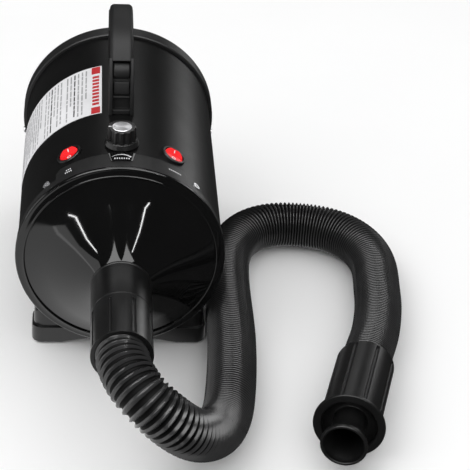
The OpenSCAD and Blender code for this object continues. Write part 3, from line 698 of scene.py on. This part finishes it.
def make_plate():
    """Airflow plate: a growing arc over a row of ticks, with no lettering."""
    r = SHELL_R + 1.3
    parts = []
    steps = 16

    def flat(xy, lift):
        xy = np.asarray(xy, float)
        return on_shell(xy[:, 1], np.degrees(xy[:, 0] / r), r + lift)

    rows = [(9 + 2.5 * k / 6, 12.5 + 13 * k / 6) for k in range(7)]
    low = [(w * x, y) for w, y in rows for x in np.linspace(-1, 1, 9)]
    v = np.concatenate([flat(low, 0.0), flat(low, 0.6)])
    f = []
    for i in range(6):
        for k in range(8):
            q = (i * 9 + k, i * 9 + k + 1, (i + 1) * 9 + k + 1, (i + 1) * 9 + k)
            f += [q, tuple(63 + j for j in q)]
    edge = list(range(9)) + [i * 9 + 8 for i in range(1, 7)]
    edge += list(range(61, 53, -1)) + [i * 9 for i in range(5, 0, -1)]
    for a, b in zip(edge, edge[1:] + edge[:1]):
        f.append((a, b, 63 + b, 63 + a))
    parts.append((v, f, 0))
    # The arc: thin at the left, thick at the right
    verts, faces = [], []
    for lift in (0.5, 0.68):
        for k in range(steps + 1):
            q = k / steps
            a = math.radians(140 - 100 * q)
            thick = 0.25 + 1.3 * q
            for d in (0, thick):
                rr = 11.0 - d
                verts.append(((rr * math.cos(a)), 12.0 + rr * math.sin(a), lift))
    w = 2 * (steps + 1)
    for k in range(steps):
        a = 2 * k
        faces += [(a, a + 1, a + 3, a + 2), (w + a, w + a + 1, w + a + 3, w + a + 2),
                  (a, a + 2, w + a + 2, w + a), (a + 1, a + 3, w + a + 3, w + a + 1)]
    faces += [(0, 1, w + 1, w), (w - 2, w - 1, 2 * w - 1, 2 * w - 2)]
    flat_arc = np.concatenate([flat([v[:2]], v[2]) for v in verts])
    parts.append((flat_arc, faces, 1))
    for x in range(-6, 7, 2):
        tick = [(x - 0.5, 15.2), (x + 0.5, 15.2), (x + 0.5, 17.2), (x - 0.5, 17.2)]
        parts.append((np.concatenate([flat(tick, 0.5), flat(tick, 0.66)]), BOX_FACES, 1))
    verts, faces, which = joined(parts)
    plate = piece(
        "airflow_scale_plate", verts, faces, None, smooth=30, which=which,
        mats=["gloss_black", "print_white"])
    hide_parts("airflow_plate")


make_plate()


def make_trim_marks():
    """Short printed dashes in front of each switch."""
    r = SHELL_R + 1.3
    parts = []
    for a0, rows in ((-30, ((17.5, 3), (14.0, 4))), (30, ((16.0, 7),))):
        for depth, count in rows:
            for k in range(count):
                a = a0 + (k - (count - 1) / 2) * 1.15
                parts.append((*patch((depth - 0.8, depth + 0.8, a - 0.32, a + 0.32), r - 0.1, r + 0.05), 0))
    verts, faces, _ = joined(parts)
    piece("switch_dashes", verts, faces, "print_white")


make_trim_marks()


def make_label():
    """Rating label: white film with red header blocks and plain grey rules for text."""
    r = SHELL_R
    film, red, rule, dark = 0, 1, 2, 3
    parts = [(*patch((100.5, 190, -100, -11), r, r + 0.25, 60), film)]

    def bar(d0, d1, a0, a1, m):
        parts.append((*patch((d0, d1, a0, a1), r + 0.2, r + 0.31), m))

    bar(101.5, 113, -17.2, -12.0, red)
    bar(176, 189, -17.2, -12.0, red)
    for k in range(9):
        bar(117 + 6.3 * k, 121.2 + 6.3 * k, -16.6, -12.6, red)
    rng = np.random.default_rng(7)
    a = -20.5
    for line in range(30):
        depth = 186.0
        stop = 104 if line % 4 else 130
        while depth > stop + 4:
            run = float(rng.uniform(4, 14))
            end = max(depth - run, stop)
            bar(end, depth, a - 0.42, a + 0.42, dark if line in (3, 9) else rule)
            depth = end - float(rng.uniform(1.2, 2.4))
        a -= 2.45
        if line in (5, 11):
            a -= 2.0
    verts, faces, which = joined(parts)
    label = piece(
        "rating_label_film", verts, faces, None, smooth=30, which=which,
        mats=["label_film", "label_red", "label_grey", "label_dark"])
    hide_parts("rating_label")


make_label()


# ---- Finishes of the CAD nodes that stay ----------------------------------

FINISH = {
    "black_steel": "shell",
    "dark_grey_plastic": "front_trim rear_cap motor_bracket bulkhead",
    "zinc_steel": (
        "cover_screws rear_screws handle_bolts foot_screws knob_shaft control_nut front_bearing "
        "rear_bearing heat_shield thermal_cutout"),
    "foam": "filter_foam sound_foam",
    "black_plastic": (
        "filter_cover front_foot rear_foot airflow_knob speed_control power_switch heat_switch"),
    "soft_black": "cord_inlet foot_pads wiring_loom motor_gasket",
    "red_plastic": "power_rocker heat_rocker",
    "board_green": "control_board",
    "core_steel": "stator fan_shroud impeller heater_coil",
    "carbon": "carbon_brushes",
    "copper": "armature",
    "mica": "heater_frame",
    "cuff_plastic": "outlet_collar hose_cuff hand_grip",
}

for finish, names in FINISH.items():
    for node in names.split():
        obj = nodes[node]
        obj.data.materials.clear()
        obj.data.materials.append(MATS[finish])


# ---- Floor and light ------------------------------------------------------

# How far from the front the mirrored floor fades, the slant of its left part's edge, and its dim and
# bright strengths
NEAR_FLOOR = (0.36, 0.46)
LEFT_SLOPE = 1.19
FLOOR_SEEN = (0.05, 1.05)
# A point in the dome, in metres, which the lights in front face
DOME_AT = (0, -0.12, 0.13)
# Strength of the world as the camera, matt surfaces and glossy surfaces see it
WORLD = {"camera": 1.0, "matt": 1.0, "glossy": 0.05}


def make_floor():
    """A pale floor. Glossy pieces mirror only the part in front of the dryer and to its left."""
    n, half = 24, 4.0
    line = np.linspace(-half, half, n + 1)
    verts = [(x, y, -0.0002) for y in line for x in line]
    w = n + 1
    corners = [j * w + i for j in range(n) for i in range(n)]
    faces = [(k, k + 1, k + w + 1, k + w) for k in corners]
    mesh = bpy.data.meshes.new("floor")
    mesh.from_pydata(verts, [], faces)
    m = material("floor", (0.92, 0.92, 0.92), (0.94, 0.94, 0.94), 0.75, 0.05, cloud=2)
    tree = m.node_tree
    add, link = tree.nodes.new, tree.links.new
    bright = next(node for node in tree.nodes if node.type == "BSDF_PRINCIPLED")
    out = next(node for node in tree.nodes if node.type == "OUTPUT_MATERIAL")
    seen, path, mix = add("ShaderNodeEmission"), add("ShaderNodeLightPath"), add("ShaderNodeMixShader")

    def maths(kind, a, b):
        node = add("ShaderNodeMath")
        node.operation = kind
        for socket, value in zip(node.inputs, (a, b)):
            if isinstance(value, (int, float)):
                socket.default_value = value
            else:
                link(value, socket)
        return node.outputs[0]

    def ramp(value, start, end, at_start, at_end):
        node = add("ShaderNodeMapRange")
        for socket, x in zip(("From Min", "From Max", "To Min", "To Max"), (start, end, at_start, at_end)):
            node.inputs[socket].default_value = x
        link(value, node.inputs["Value"])
        return node.outputs[0]

    place, split = add("ShaderNodeTexCoord"), add("ShaderNodeSeparateXYZ")
    link(place.outputs["Object"], split.inputs[0])
    x, ahead = split.outputs["X"], maths("SUBTRACT", -0.12, split.outputs["Y"])
    away = maths("POWER", maths("ADD", maths("MULTIPLY", x, x), maths("MULTIPLY", ahead, ahead)), 0.5)
    near = maths("MULTIPLY", ramp(away, *NEAR_FLOOR, 1, 0), ramp(x, -0.03, 0.03, 1, 0))
    left = ramp(maths("ADD", x, maths("MULTIPLY", ahead, LEFT_SLOPE)), -0.03, 0.03, 1, 0)
    front = ramp(ahead, -0.25, -0.1, 0, 1)
    shown = maths("MULTIPLY", maths("MAXIMUM", near, left), front)
    link(ramp(shown, 0, 1, *FLOOR_SEEN), seen.inputs["Strength"])
    link(path.outputs["Is Glossy Ray"], mix.inputs[0])
    link(bright.outputs[0], mix.inputs[1])
    link(seen.outputs[0], mix.inputs[2])
    link(mix.outputs[0], out.inputs[0])
    mesh.materials.append(m)
    floor = bpy.data.objects.new("floor", mesh)
    bpy.context.scene.collection.objects.link(floor)


def softbox(name, at, towards, size, radiance, matt=False, mirrored=True):
    """A rectangular light, which matt surfaces, glossy ones or both receive."""
    data = bpy.data.lights.new(name, "AREA")
    data.shape = "RECTANGLE"
    data.size, data.size_y = size
    data.energy = radiance * math.pi * size[0] * size[1]
    light = bpy.data.objects.new(name, data)
    light.location = at
    light.rotation_euler = (Vector(towards) - Vector(at)).to_track_quat("-Z", "Y").to_euler()
    light.visible_camera = False
    light.visible_diffuse = matt
    light.visible_glossy = mirrored
    bpy.context.scene.collection.objects.link(light)


def make_world():
    world = bpy.data.worlds.new("studio")
    world.use_nodes = True
    tree = world.node_tree
    tree.nodes.clear()
    add, link = tree.nodes.new, tree.links.new
    out, path = add("ShaderNodeOutputWorld"), add("ShaderNodeLightPath")
    seen = {}
    for kind, strength in WORLD.items():
        seen[kind] = add("ShaderNodeBackground")
        seen[kind].inputs[1].default_value = strength
        seen[kind].inputs[0].default_value = (1, 1, 1, 1)
    glossy, camera = add("ShaderNodeMixShader"), add("ShaderNodeMixShader")
    link(path.outputs["Is Glossy Ray"], glossy.inputs[0])
    link(seen["matt"].outputs[0], glossy.inputs[1])
    link(seen["glossy"].outputs[0], glossy.inputs[2])
    link(path.outputs["Is Camera Ray"], camera.inputs[0])
    link(glossy.outputs[0], camera.inputs[1])
    link(seen["camera"].outputs[0], camera.inputs[2])
    link(camera.outputs[0], out.inputs[0])
    bpy.context.scene.world = world


make_floor()
make_world()
softbox("key", (-0.7, -0.6, 1.3), (0.05, 0, 0.1), (0.9, 0.9), 2.0, matt=True, mirrored=False)
softbox("overhead", (0, -0.05, 1.4), (0, -0.05, 0), (2.0, 0.5), 6.0)
softbox("high_left", (-0.60, -0.98, 1.47), DOME_AT, (1.2, 0.94), 4.5)
softbox("high_right", (0.46, -1.06, 1.47), DOME_AT, (0.8, 0.94), 4.5)
softbox("behind", (0.1, 1.6, 1.15), (0, 0, 0.25), (0.8, 0.3), 2.0)
softbox("hot_left", (-1.22, -1.45, 0.60), DOME_AT, (0.035, 0.25), 25.0)
softbox("hot_right", (0.64, -1.45, 0.98), DOME_AT, (0.035, 0.25), 25.0)
softbox("left_panel", (-1.6, -0.23, 0.36), (0, -0.23, 0.36), (2.46, 0.72), 1.15)
softbox("right_back", (1.15, 1.3, 0.42), (0, 0, 0.15), (0.6, 0.6), 3.0)
bpy.context.scene.view_settings.view_transform = "Standard"
